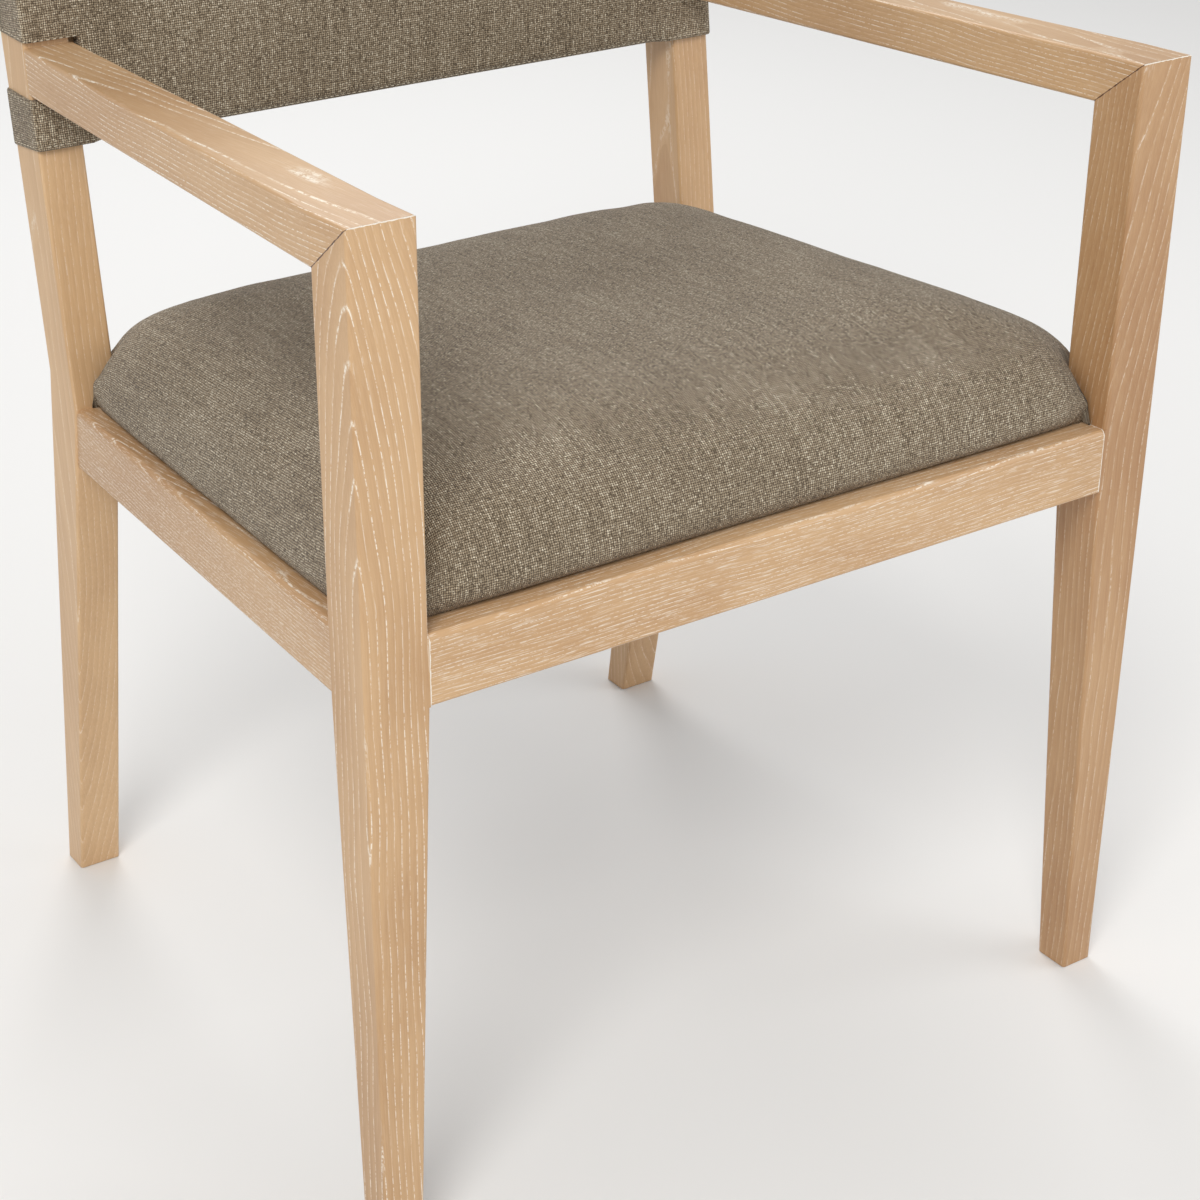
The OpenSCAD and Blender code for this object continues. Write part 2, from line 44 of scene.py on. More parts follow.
cameraSet = {
    "place": (-0.8801, -1.3484, 1.0994),
    "turn": (62.602, -0.385, -34.241),   # degrees
    "lens": 76.36, "sensor": 36, "nearest": 0.05,
}
lightSet = {
    # name: (place, aim, size, power, colour)
    "key": ((-2.0, -1.95, 3.1), (0.0, 0.0, 0.45), 1.6, 72, (1.0, 0.985, 0.96)),
    "fill": ((2.4, -1.9, 1.5), (0.0, 0.0, 0.4), 2.2, 24, (0.97, 0.985, 1.0)),
    "back": ((0.8, 2.4, 2.6), (0.0, 0.1, 0.5), 1.8, 34, (1.0, 1.0, 1.0)),
}
skySet = {"colour": (1, 1, 1, 1), "strength": 0.55}
floorSet = {"size": 14.0, "squares": 8, "drop": 0.0005, "colour": (0.86, 0.855, 0.845, 1), "roughness": 0.8}


def makeCamera():
    data = bpy.data.cameras.new("camera")
    data.lens = cameraSet["lens"]
    data.sensor_width = cameraSet["sensor"]
    data.clip_start = cameraSet["nearest"]
    cam = bpy.data.objects.new("camera", data)
    cam.location = cameraSet["place"]
    cam.rotation_euler = [math.radians(v) for v in cameraSet["turn"]]
    bpy.context.scene.collection.objects.link(cam)
    bpy.context.scene.camera = cam


def makeLights():
    for name, (place, aim, size, power, colour) in lightSet.items():
        data = bpy.data.lights.new(name, "AREA")
        data.shape = "DISK"
        data.size = size
        data.energy = power
        data.color = colour
        lamp = bpy.data.objects.new(name, data)
        lamp.location = place
        lamp.rotation_mode = "QUATERNION"
        lamp.rotation_quaternion = (Vector(aim) - Vector(place)).to_track_quat("-Z", "Y")
        bpy.context.scene.collection.objects.link(lamp)
    world = bpy.data.worlds.new("studio")
    world.use_nodes = True
    sky = world.node_tree.nodes["Background"]
    sky.inputs["Color"].default_value = skySet["colour"]
    sky.inputs["Strength"].default_value = skySet["strength"]
    bpy.context.scene.world = world
    bpy.context.scene.view_settings.view_transform = "Standard"
    bpy.context.scene.view_settings.look = "None"


def newPiece(name, bm, material):
    mesh = bpy.data.meshes.new(name)
    bm.to_mesh(mesh)
    bm.free()
    mesh.shade_smooth()
    piece = bpy.data.objects.new(name, mesh)
    bpy.context.scene.collection.objects.link(piece)
    mesh.materials.append(material)
    return piece


def makeFloor():
    bm = bmesh.new()
    bmesh.ops.create_grid(bm, x_segments=floorSet["squares"], y_segments=floorSet["squares"],
                          size=floorSet["size"] / 2)
    plain = bpy.data.materials.new("floor paint")
    plain.use_nodes = True
    shader = plain.node_tree.nodes["Principled BSDF"]
    shader.inputs["Base Color"].default_value = floorSet["colour"]
    shader.inputs["Roughness"].default_value = floorSet["roughness"]
    floor = newPiece("floor", bm, plain)
    floor.location.z = -floorSet["drop"]


makeCamera()
makeLights()
makeFloor()
print("camera, lights and floor made")


# short names for building materials
def node(tree, kind, **settings):
    made = tree.nodes.new(kind)
    for name, value in settings.items():
        setattr(made, name, value)
    return made


def put(tree, value, socket):   # links a socket, or sets a plain value
    if isinstance(value, bpy.types.NodeSocket):
        tree.links.new(value, socket)
    else:
        socket.default_value = value


def calc(tree, operation, first, second=None, clamp=False):
    made = node(tree, "ShaderNodeMath", operation=operation, use_clamp=clamp)
    for value, socket in zip((first, second), made.inputs):
        if value is not None:
            put(tree, value, socket)
    return made.outputs[0]


def along(tree, operation, first, second=None, scale=None):
    made = node(tree, "ShaderNodeVectorMath", operation=operation)
    put(tree, first, made.inputs[0])
    if second is not None:
        put(tree, second, made.inputs[1])
    if scale is not None:
        put(tree, scale, made.inputs["Scale"])
    plain = operation in ("LENGTH", "DOT_PRODUCT")
    return made.outputs["Value" if plain else "Vector"]


def grainNoise(tree, vector, stretch, detail=2.0, rough=0.5, colour=False):
    made = node(tree, "ShaderNodeTexNoise")
    put(tree, along(tree, "MULTIPLY", vector, stretch), made.inputs["Vector"])
    made.inputs["Scale"].default_value = 1.0
    made.inputs["Detail"].default_value = detail
    made.inputs["Roughness"].default_value = rough
    return made.outputs["Color"] if colour else made.outputs["Fac"]


def ramp(tree, value, low, high, toLow=0.0, toHigh=1.0, smooth=True):
    made = node(tree, "ShaderNodeMapRange", interpolation_type="SMOOTHSTEP" if smooth else "LINEAR")
    for name, v in (("From Min", low), ("From Max", high), ("To Min", toLow), ("To Max", toHigh)):
        put(tree, v, made.inputs[name])
    put(tree, value, made.inputs["Value"])
    return made.outputs["Result"]


def blendColour(tree, share, first, second):
    made = node(tree, "ShaderNodeMix", data_type="RGBA")
    put(tree, share, made.inputs[0])
    put(tree, first, made.inputs[6])
    put(tree, second, made.inputs[7])
    return made.outputs[2]


def objectPlace(tree):
    return node(tree, "ShaderNodeTexCoord").outputs["Object"]


def splitVector(tree, vector):
    made = node(tree, "ShaderNodeSeparateXYZ")
    put(tree, vector, made.inputs[0])
    return made.outputs


def product(tree, first, second):
    return calc(tree, "MULTIPLY", first, second)


def total(tree, first, second, clamp=False):
    return calc(tree, "ADD", first, second, clamp=clamp)


def less(tree, first, second):
    return calc(tree, "SUBTRACT", first, second)


def newGroup(name, inputs, outputs):
    tree = bpy.data.node_groups.new(name, "ShaderNodeTree")
    for kind, names in (("INPUT", inputs), ("OUTPUT", outputs)):
        for label, (socket, value) in names.items():
            made = tree.interface.new_socket(label, in_out=kind, socket_type="NodeSocket" + socket)
            if value is not None:
                made.default_value = value
    return tree, node(tree, "NodeGroupInput").outputs, node(tree, "NodeGroupOutput").inputs


def useGroup(tree, group, **values):
    made = node(tree, "ShaderNodeGroup", node_tree=group)
    for label, value in values.items():
        put(tree, value, made.inputs[label.replace("_", " ")])
    return made.outputs


def newMaterial(name, roughness=0.5, **fixed):
    material = bpy.data.materials.new(name)
    material.use_nodes = True
    shader = material.node_tree.nodes["Principled BSDF"]
    shader.inputs["Roughness"].default_value = roughness
    for label, value in fixed.items():
        shader.inputs[label.replace("_", " ")].default_value = value
    return material, material.node_tree, shader


def addBump(tree, shader, height, distance, strength=1.0):
    bump = node(tree, "ShaderNodeBump")
    bump.inputs["Strength"].default_value = strength
    bump.inputs["Distance"].default_value = distance
    put(tree, height, bump.inputs["Height"])
    put(tree, bump.outputs["Normal"], shader.inputs["Normal"])


def linear(level):   # one screen level, 0 to 255, as linear light
    share = level / 255
    return share / 12.92 if level < 10.3 else ((share + 0.055) / 1.055) ** 2.4


def srgb(r, g, b):
    return linear(r), linear(g), linear(b), 1.0


# show wood: limed ash
def makeAshGroup():
    # rings round a pith that lies off the member, with white lime in the open pores
    tree, given, out = newGroup(
        "limed grain",
        {
            "Vector": ("Vector", None), "Ring Width": ("Float", 0.003), "Wander": ("Float", 0.004),
            "Line": ("Float", 0.12), "Scatter": ("Float", 0.05), "Pale": ("Color", srgb(213, 177, 134)),
            "Deep": ("Color", srgb(166, 122, 80)), "Lime": ("Color", srgb(246, 236, 220)),
            "Lime Amount": ("Float", 0.8), "Tone": ("Float", 0.0),
        },
        {"Color": ("Color", None), "Roughness": ("Float", None), "Height": ("Float", None)},
    )
    v = given["Vector"]
    # the rings wander as they climb
    drift = along(tree, "SUBTRACT", grainNoise(tree, v, (11, 11, 3.6), 2.0, colour=True), (0.5, 0.5, 0.5))
    bent = along(tree, "ADD", v, along(tree, "SCALE", drift, scale=given["Wander"]))
    radius = along(tree, "LENGTH", along(tree, "MULTIPLY", bent, (1, 1, 0)))
    uneven = grainNoise(tree, bent, (70, 70, 5), 1.0)
    ring = total(tree, calc(tree, "DIVIDE", radius, given["Ring Width"]), product(tree, uneven, 0.55))
    step = calc(tree, "FRACT", ring)
    # scattered vessels, thicker in the early part of each ring
    early = product(tree, ramp(tree, step, 0.04, 0.34, 1.0, 0.0), ramp(tree, step, 0.0, 0.05))
    vessel = ramp(tree, grainNoise(tree, bent, (1700, 1700, 70), 1.0), 0.57, 0.66)
    scattered = product(tree, vessel, total(tree, product(tree, early, 0.45), given["Scatter"]))
    # the broken lime line along each ring
    broken = ramp(tree, grainNoise(tree, bent, (420, 420, 330), 3.0, 0.75), 0.43, 0.56)
    patches = ramp(tree, grainNoise(tree, bent, (130, 130, 22), 2.0), 0.34, 0.60, 0.15, 1.0)
    offLine = calc(tree, "ABSOLUTE", less(tree, step, 0.10))
    seam = product(tree, ramp(tree, offLine, 0.01, given["Line"], 1.0, 0.0), product(tree, broken, patches))
    pores = calc(tree, "MAXIMUM", scattered, seam)
    lime = calc(tree, "MULTIPLY", pores, given["Lime Amount"], clamp=True)
    # the wood's own colour under the lime
    fibre = grainNoise(tree, bent, (1100, 1100, 22), 3.0, 0.6)
    cloud = grainNoise(tree, v, (16, 16, 5), 3.0, 0.55)
    depth = total(tree, product(tree, ramp(tree, step, 0.1, 1.0, 0.0, 1.0, False), 0.16),
                  product(tree, less(tree, fibre, 0.5), 0.55))
    # the tone input darkens the whole piece: the wood's own tone, plus painted shade on the right front leg
    toneShadeAndCloud = total(tree, given["Tone"], ramp(tree, cloud, 0.3, 0.7, 0.0, 0.34))
    wood = blendColour(tree, total(tree, depth, toneShadeAndCloud, clamp=True), given["Pale"], given["Deep"])
    put(tree, blendColour(tree, lime, wood, given["Lime"]), out["Color"])
    rough = total(tree, 0.36, product(tree, lime, 0.22))
    put(tree, total(tree, rough, product(tree, fibre, 0.12)), out["Roughness"])
    put(tree, less(tree, product(tree, fibre, 0.35), pores), out["Height"])
    return tree


def makeJointGroup():
    # a thin line where two members meet, on the plane Normal . P = Offset
    tree, given, out = newGroup(
        "joint line",
        {
            "Vector": ("Vector", None), "Normal": ("Vector", None), "Offset": ("Float", 0.0),
            "Width": ("Float", 0.0005),
        },
        {"Mask": ("Float", None)},
    )
    reached = along(tree, "DOT_PRODUCT", given["Vector"], given["Normal"])
    far = calc(tree, "ABSOLUTE", less(tree, reached, given["Offset"]))
    uneven = ramp(tree, grainNoise(tree, given["Vector"], (260, 260, 260), 2.0), 0.3, 0.7, 0.45, 1.25)
    put(tree, calc(tree, "LESS_THAN", far, product(tree, given["Width"], uneven)), out["Mask"])
    return tree


ashGroup = makeAshGroup()
jointGroup = makeJointGroup()
upright, crosswise, lengthwise = (0, 0, 0), (0, -90, 0), (90, 0, 0)   # degrees, to lay the grain along Z

jointSet = {
    "front": -0.273, "top": 0.677,                        # the mitre's outer corner, at the leg's face
    "armThick": 0.031, "legDeep": 0.040, "armTilt": math.radians(2.5),
    "mitreWidth": 0.00042, "faceDepth": 0.0005,           # the line shows light on the leg's front face
    "railEnds": (-0.257, 0.257), "endWidth": 0.0007,
}
armTilt = jointSet["armTilt"]
mitreRise = jointSet["armThick"] / math.cos(armTilt) + jointSet["legDeep"] * math.tan(armTilt)
mitreLean = math.atan(mitreRise / jointSet["legDeep"])
mitreNormal = (0, math.sin(mitreLean), math.cos(mitreLean))
mitreOffset = jointSet["front"] * math.sin(mitreLean) + jointSet["top"] * math.cos(mitreLean)
limeLine, brownLine = srgb(240, 232, 218), srgb(92, 60, 38)

ashLook = {"coat": 0.18, "coatRoughness": 0.28, "bumpDepth": 0.00012, "bump": 0.6}
showWoodSet = {
    # node: (grain direction, lean of the grain in degrees, from the pith to the member, ring width,
    #        wander, share of a ring that the lime line takes, scattered pores, lime, tone, joints)
    "front_leg_left": (upright, (0.5, 0.8), (0.060, 0.034), 0.0050,
                       0.022, 0.085, 0.04, 1.00, 0.12, ("mitre",)),
    # this leg's tone is darker wood plus painted shade, for the shade the leg stands in
    "front_leg_right": (upright, (-0.8, -0.8), (0.052, -0.050), 0.0046,
                        0.022, 0.060, 0.06, 0.50, 0.48, ("mitre",)),
    "rear_post_left": (upright, (3.0, 0.6), (0.050, 0.018), 0.0044,
                       0.016, 0.060, 0.10, 0.42, -0.14, ()),
    "rear_post_right": (upright, (3.0, -0.8), (-0.046, 0.030), 0.0044,
                        0.016, 0.060, 0.10, 0.42, 0.20, ()),
    "arm_left": (lengthwise, (2.5, 3.3), (0.008, 0.070), 0.0030,
                 0.015, 0.145, 0.10, 1.00, 0.12, ("mitre",)),
    "arm_right": (lengthwise, (2.5, -3.3), (-0.010, 0.066), 0.0030,
                  0.014, 0.130, 0.10, 0.85, 0.10, ("mitre",)),
    "front_rail": (crosswise, (0.4, 0.5), (0.047, 0.020), 0.0027,
                   0.018, 0.130, 0.36, 0.92, 0.10, ("ends",)),
    "rear_rail": (crosswise, (0, 0.6), (0.052, 0.020), 0.0032,
                  0.018, 0.100, 0.20, 0.60, 0.12, ()),
    "side_rail_left": (lengthwise, (2.7, 3.3), (0.020, 0.060), 0.0025,
                       0.014, 0.140, 0.38, 0.95, 0.24, ()),
    "side_rail_right": (lengthwise, (2.7, -3.3), (0.026, 0.050), 0.0025,
                        0.014, 0.130, 0.30, 0.70, 0.14, ()),
}
# how fast the grain leans over, across and back, and the height at which it starts
sweepSet = {"front_leg_left": ((0.50, 0.10, 0), 0.44), "front_leg_right": ((-0.16, 0.10, 0), 0.30)}


def turnBy(angles):   # degrees about X, then about Y
    aboutX, aboutY = (math.radians(angle) for angle in angles[:2])
    return Matrix.Rotation(aboutY, 3, "Y") @ Matrix.Rotation(aboutX, 3, "X")


def makeAsh(name, direction, lean, fromPith, ringWidth, wander, line, scatter, limeAmount, toneAndShade, joints):
    material, tree, shader = newMaterial("ash " + name.replace("_", " "), Coat_Weight=ashLook["coat"],
                                         Coat_Roughness=ashLook["coatRoughness"])
    place = objectPlace(tree)
    whole = turnBy(lean) @ turnBy(direction)
    low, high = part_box(name)
    shift = Vector((*fromPith, 0)) - whole @ ((Vector(low) + Vector(high)) / 2)
    mapping = node(tree, "ShaderNodeMapping")
    mapping.inputs["Rotation"].default_value = whole.to_euler()
    mapping.inputs["Location"].default_value = shift
    swept = place
    if name in sweepSet:   # the grain leans over towards the top of the member
        bend, start = sweepSet[name]
        rise = calc(tree, "MAXIMUM", less(tree, splitVector(tree, place)["Z"], start), 0.0)
        swept = along(tree, "ADD", place, along(tree, "SCALE", bend, scale=product(tree, rise, rise)))
    put(tree, swept, mapping.inputs["Vector"])
    # the tone given here includes painted shade on the right front leg
    grain = useGroup(tree, ashGroup, Vector=mapping.outputs[0], Ring_Width=ringWidth, Wander=wander,
                     Line=line, Scatter=scatter, Lime_Amount=limeAmount, Tone=toneAndShade)
    colour = grain["Color"]
    if "mitre" in joints:
        mark = useGroup(tree, jointGroup, Vector=place, Normal=mitreNormal, Offset=mitreOffset,
                        Width=jointSet["mitreWidth"])
        inner = calc(tree, "GREATER_THAN", splitVector(tree, place)["Y"],
                     jointSet["front"] + jointSet["faceDepth"])
        colour = blendColour(tree, mark["Mask"], colour, blendColour(tree, inner, limeLine, brownLine))
    if "ends" in joints:
        for edge in jointSet["railEnds"]:
            mark = useGroup(tree, jointGroup, Vector=place, Normal=(1, 0, 0), Offset=edge,
                            Width=jointSet["endWidth"])
            colour = blendColour(tree, mark["Mask"], colour, limeLine)
    put(tree, colour, shader.inputs["Base Color"])
    put(tree, grain["Roughness"], shader.inputs["Roughness"])
    addBump(tree, shader, grain["Height"], ashLook["bumpDepth"], ashLook["bump"])
    return material


def dress(name, material):
    piece = nodes[name]
    piece.data.materials.clear()
    piece.data.materials.append(material)


for name, values in showWoodSet.items():
    dress(name, makeAsh(name, *values))
print("show wood done")


# cover cloth
def makeWeaveGroup():
    # plain weave of uneven yarns: the vector is in metres on the cloth, X across and Y along the warp
    tree, given, out = newGroup(
        "slub weave",
        {
            "Vector": ("Vector", None), "Pitch": ("Float", 0.0013),
            "Pale": ("Color", srgb(238, 226, 202)), "Middle": ("Color", srgb(170, 153, 128)),
            "Dark": ("Color", srgb(72, 59, 42)), "Slub Amount": ("Float", 0.5),
        },
        {"Color": ("Color", None), "Roughness": ("Float", None), "Height": ("Float", None)},
    )
    v = given["Vector"]
    drift = along(tree, "SUBTRACT", grainNoise(tree, v, (55, 55, 0), 2.0, colour=True), (0.5, 0.5, 0.5))
    wavy = along(tree, "SCALE", drift, scale=product(tree, given["Pitch"], 1.6))
    cloth = along(tree, "ADD", v, wavy)
    yarns = splitVector(tree, along(tree, "SCALE", cloth, scale=calc(tree, "DIVIDE", 1.0, given["Pitch"])))
    across, down = yarns["X"], yarns["Y"]
    heights, shades = [], []
    for this, other, turn in ((across, down, 0.0), (down, across, 1.0)):
        number = calc(tree, "FLOOR", this)
        inside = less(tree, calc(tree, "FRACT", this), 0.5)
        rounded = calc(tree, "COSINE", product(tree, inside, math.pi * 0.92))
        # over one yarn and under the next, half a turn on for each yarn
        crossing = total(tree, other, total(tree, number, turn - 0.5))
        wave = calc(tree, "COSINE", product(tree, crossing, math.pi))
        heights.append(product(tree, rounded, total(tree, product(tree, wave, 0.34), 0.66)))
        thread = node(tree, "ShaderNodeCombineXYZ")
        put(tree, product(tree, number, 7.31), thread.inputs["X"])
        put(tree, product(tree, other, 0.80), thread.inputs["Y"])
        put(tree, turn * 40, thread.inputs["Z"])
        fleck = grainNoise(tree, thread.outputs[0], (1, 1, 1), 2.0, 0.65)
        slow = grainNoise(tree, thread.outputs[0], (1, 0.045, 1), 1.0)
        slub = product(tree, ramp(tree, slow, 0.58, 0.78), 1.0 - 0.7 * turn)
        shades.append(total(tree, product(tree, less(tree, fleck, 0.5), 4.2),
                            product(tree, slub, given["Slub Amount"])))
    top = calc(tree, "GREATER_THAN", heights[0], heights[1])
    height = calc(tree, "MAXIMUM", heights[0], heights[1])
    shade = total(tree, product(tree, shades[0], top), product(tree, shades[1], less(tree, 1.0, top)))
    # fuzz, cloudy patches, streaks along the warp and the yarn's own mixed fibres
    fuzz = grainNoise(tree, cloth, (5200, 5200, 1), 2.0)
    cloud = grainNoise(tree, v, (9, 9, 1), 3.0)
    streak = grainNoise(tree, v, (240, 18, 1), 2.0, 0.6)
    heather = grainNoise(tree, v, (640, 290, 1), 2.0, 0.7)
    for part, amount in ((fuzz, 0.8), (cloud, 0.7), (streak, 1.2), (heather, 2.8)):
        shade = total(tree, shade, product(tree, less(tree, part, 0.5), amount))
    # painted shade in the hollows between the yarns: where the weave is low, the dark colour is mixed in
    gapShade = ramp(tree, height, 0.40, 0.88, 1.0, 0.0)
    light = product(tree, ramp(tree, shade, 0.0, 1.0), 0.95)
    dim = product(tree, ramp(tree, shade, -0.05, -0.85), 0.8)
    colour = blendColour(tree, light, given["Middle"], given["Pale"])
    colour = blendColour(tree, dim, colour, given["Dark"])
    put(tree, blendColour(tree, product(tree, gapShade, 0.9), colour, given["Dark"]), out["Color"])
    put(tree, less(tree, 0.92, product(tree, height, 0.12)), out["Roughness"])
    put(tree, total(tree, height, product(tree, fuzz, 0.25)), out["Height"])
    return tree


weaveGroup = makeWeaveGroup()
coverClothSet = {"pitch": 0.0015, "slubs": 0.45, "roughness": 0.9, "sheen": 0.18, "sheenRoughness": 0.45,
                 "specular": 0.25, "bump": 0.45}


def makeCoverCloth():
    pitch = coverClothSet["pitch"]
    material, tree, shader = newMaterial(
        "taupe cover cloth", coverClothSet["roughness"], Sheen_Weight=coverClothSet["sheen"],
        Sheen_Roughness=coverClothSet["sheenRoughness"], Specular_IOR_Level=coverClothSet["specular"])
    place = node(tree, "ShaderNodeUVMap", uv_map="cloth").outputs[0]
    weave = useGroup(tree, weaveGroup, Vector=place, Pitch=pitch, Slub_Amount=coverClothSet["slubs"])
    put(tree, weave["Color"], shader.inputs["Base Color"])
    put(tree, weave["Roughness"], shader.inputs["Roughness"])
    addBump(tree, shader, weave["Height"], pitch * coverClothSet["bump"], 1.0)
    return material


coverCloth = makeCoverCloth()
print("cover cloth done")

# how the cloth behaves while it is puffed up
puffSet = {"frames": 20, "quality": 5, "mass": 0.35, "stretch": 22, "shear": 10, "bend": 1.2}


def puffUp(piece, pinned, pressure, cap):
    # cloth under pressure, held at the pinned points, moving no further than cap
    start = [v.co.copy() for v in piece.data.vertices]
    group = piece.vertex_groups.new(name="held")
    group.add(pinned, 1.0, "REPLACE")
    cloth = piece.modifiers.new("cloth", "CLOTH")
    setting = cloth.settings
    setting.quality = puffSet["quality"]
    setting.mass = puffSet["mass"]
    setting.tension_stiffness = setting.compression_stiffness = puffSet["stretch"]
    setting.shear_stiffness = puffSet["shear"]
    setting.bending_stiffness = puffSet["bend"]
    setting.use_pressure = True
    setting.uniform_pressure_force = pressure
    setting.vertex_group_mass = "held"
    setting.effector_weights.gravity = 0
    cloth.collision_settings.use_collision = False
    cloth.point_cache.frame_start, cloth.point_cache.frame_end = 1, puffSet["frames"]
    scene = bpy.context.scene
    for frameNumber in range(1, puffSet["frames"] + 1):
        scene.frame_set(frameNumber)
    shaped = piece.evaluated_get(bpy.context.evaluated_depsgraph_get()).data
    ended = [v.co.copy() for v in shaped.vertices]
    piece.modifiers.remove(cloth)
    piece.vertex_groups.remove(group)
    scene.frame_set(1)
    for v, was, now in zip(piece.data.vertices, start, ended):
        move = now - was
        if move.length > cap:
            move *= cap / move.length
        v.co = was + move


def soften(bm, verts, times):
    for k in range(times):
        bmesh.ops.smooth_vert(bm, verts=verts, factor=0.5,
                              use_axis_x=True, use_axis_y=True, use_axis_z=True)


# seat cushion: lengths are in the seat's own frame, from the rails' top front edge
seatSet = {
    "place": (0, -0.273, 0.434), "tilt": -2.7,   # degrees
    "front": 0.0205, "back": 0.4775,             # base edges, back from the front legs' faces
    "half": 0.2800, "taper": 0.0580, "taperFrom": 0.040,   # half-width at the legs' back faces, narrowing
    "crown": 0.0770, "belly": 0.020, "reach": 0.150, "squareness": 2.6, "cornerBlend": 2.3,
    "swellFront": 0.0085, "swellSide": 0.0040, "swellBack": 0.001,
    "legX": 0.2553, "legY": 0.0417, "postX": 0.2383, "postY": 0.4432,   # notches round legs and posts
    "middle": 0.2,                               # leg notches in front of this, post notches behind
    "snap": 0.0065, "nearCut": 0.009, "nearNotch": 0.022,   # how close to a notch counts as its edge
    "rim": 0.0004, "nearRim": 0.004, "heldBelow": 0.0012,   # heights over the rails
    "columns": 80, "rows": 68, "wallRows": 5, "pressure": 3.0, "cap": 0.003,
    "notchPasses": 5, "topPasses": 12, "cornerPasses": 8, "cornerX": 0.19, "cornerY": 0.40,
    "ripples": ((16, 0.0007), (45, 0.00025)), "rippleFrom": 0.002, "rippleFull": 0.03, "lift": 0.0003,
}
toSeat = Matrix.Translation(seatSet["place"]) @ Matrix.Rotation(math.radians(seatSet["tilt"]), 4, "X")


class SideProfile:   # the cushion's edge from the rail up and inwards, measured along the cloth
    bellySteps, roundSteps = 10, 60

    def __init__(self, swell):
        power = 2 / seatSet["squareness"]
        belly, rise = seatSet["belly"], seatSet["crown"] - seatSet["belly"]
        self.points = [(-swell * math.sin(t * math.pi / (2 * self.bellySteps)), belly * t / self.bellySteps)
                       for t in range(self.bellySteps)]
        for t in range(self.roundSteps + 1):
            angle = t * math.pi / (2 * self.roundSteps)
            self.points.append((-swell + seatSet["reach"] * (1 - math.cos(angle) ** power),
                                belly + rise * math.sin(angle) ** power))
        self.points.append((self.points[-1][0] + 1.0, seatSet["crown"]))   # flat to well past the middle
        self.lengths = [0.0]
        for one, two in zip(self.points, self.points[1:]):
            self.lengths.append(self.lengths[-1] + math.dist(one, two))

    def at(self, length):   # the place (inset, height) at this length of cloth
        for k in range(1, len(self.lengths)):
            if length <= self.lengths[k]:
                share = (length - self.lengths[k - 1]) / (self.lengths[k] - self.lengths[k - 1])
                one, two = self.points[k - 1], self.points[k]
                return one[0] + share * (two[0] - one[0]), one[1] + share * (two[1] - one[1])

    def lengthTo(self, inset):   # the length of cloth from the rail to this inset
        for k in range(1, len(self.points)):
            if inset <= self.points[k][0] and self.points[k][1] >= seatSet["belly"]:
                one, two = self.points[k - 1], self.points[k]
                return self.lengths[k - 1] + math.dist(one, two) * (inset - one[0]) / (two[0] - one[0])


def inNotch(p, slack=0.0):   # round a front leg or a rear post, deeper than slack
    x = abs(p.x)
    return ((x > seatSet["legX"] + slack and p.y < seatSet["legY"] - slack)
            or (x > seatSet["postX"] + slack and p.y > seatSet["postY"] + slack))


def notchPlanes(p):
    if p.y < seatSet["middle"]:
        return seatSet["legX"], seatSet["legY"]
    return seatSet["postX"], seatSet["postY"]


